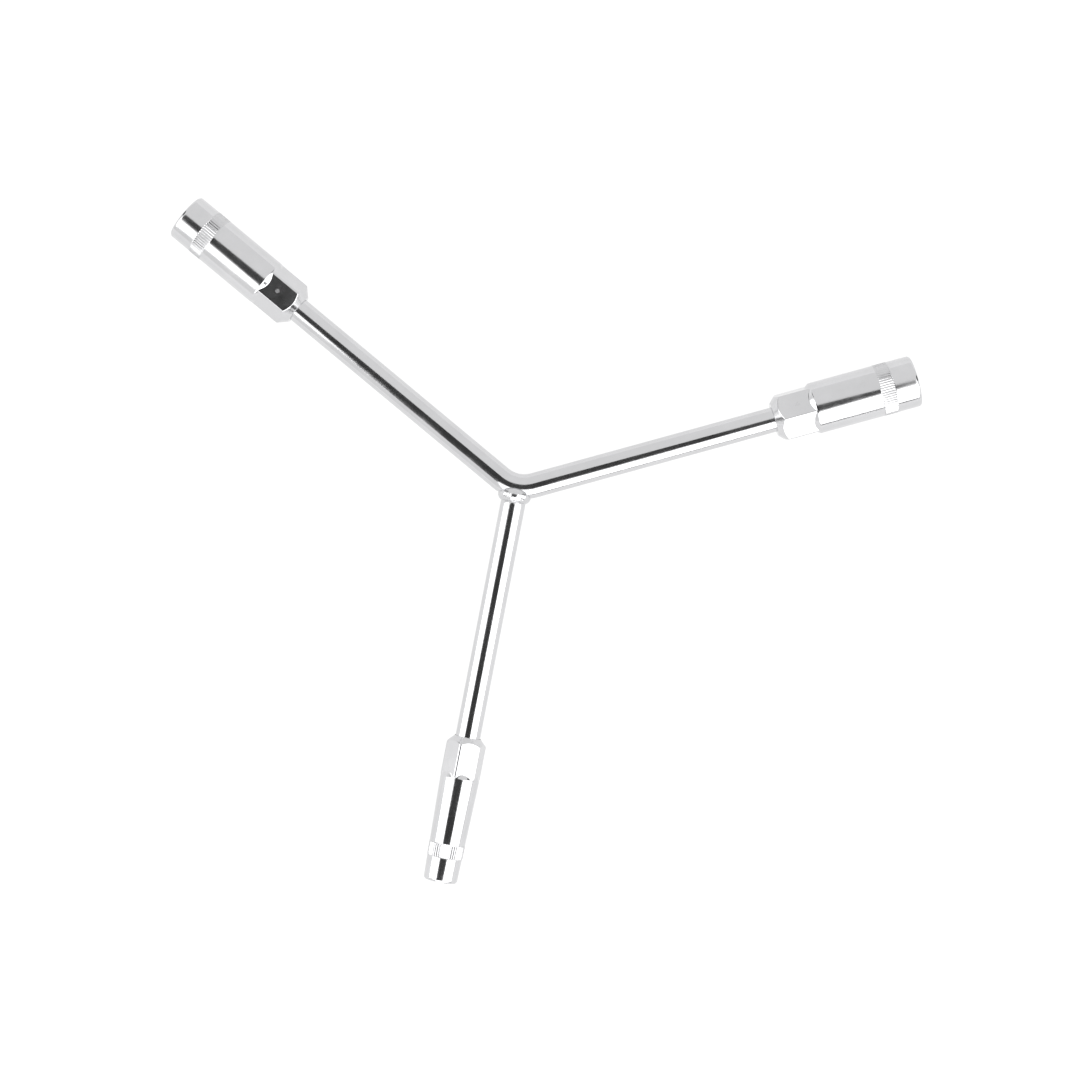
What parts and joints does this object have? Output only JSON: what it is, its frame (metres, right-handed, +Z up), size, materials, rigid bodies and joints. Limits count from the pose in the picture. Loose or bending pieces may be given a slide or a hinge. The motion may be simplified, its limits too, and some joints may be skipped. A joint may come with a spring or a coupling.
{
  "type": "three-way lug wrench",
  "caption": "Y-shaped lug wrench: a bent bar and a welded straight bar, each end pinned into a deep hexagon socket with a knurled band.",
  "frame": {"origin": "on the resting surface, under the middle of the tool's box, with the tool lying flat", "axes": "+Z up out of the plane of the three arms; the third arm points along -Y, and the two arms of the bent bar open towards +Y, with the 19 mm socket on the +X side"},
  "size_m": [0.3678, 0.2986, 0.0248],
  "materials": {
    "bars": "bright chrome plate over polished drawn bar",
    "sockets": "bright chrome plate, duller inside the openings",
    "weld": "bright chrome plate over a dressed weld bead",
    "pins": "chrome plate over a pin end dressed flush"
  },
  "bodies": {
    "root": {"bent_bar": "bars", "straight_bar": "bars", "weld_collar": "weld", "socket_17": "sockets", "socket_19": "sockets", "socket_12": "sockets", "pin_17": "pins", "pin_19": "pins", "pin_12": "pins"}
  },
  "joints": []
}
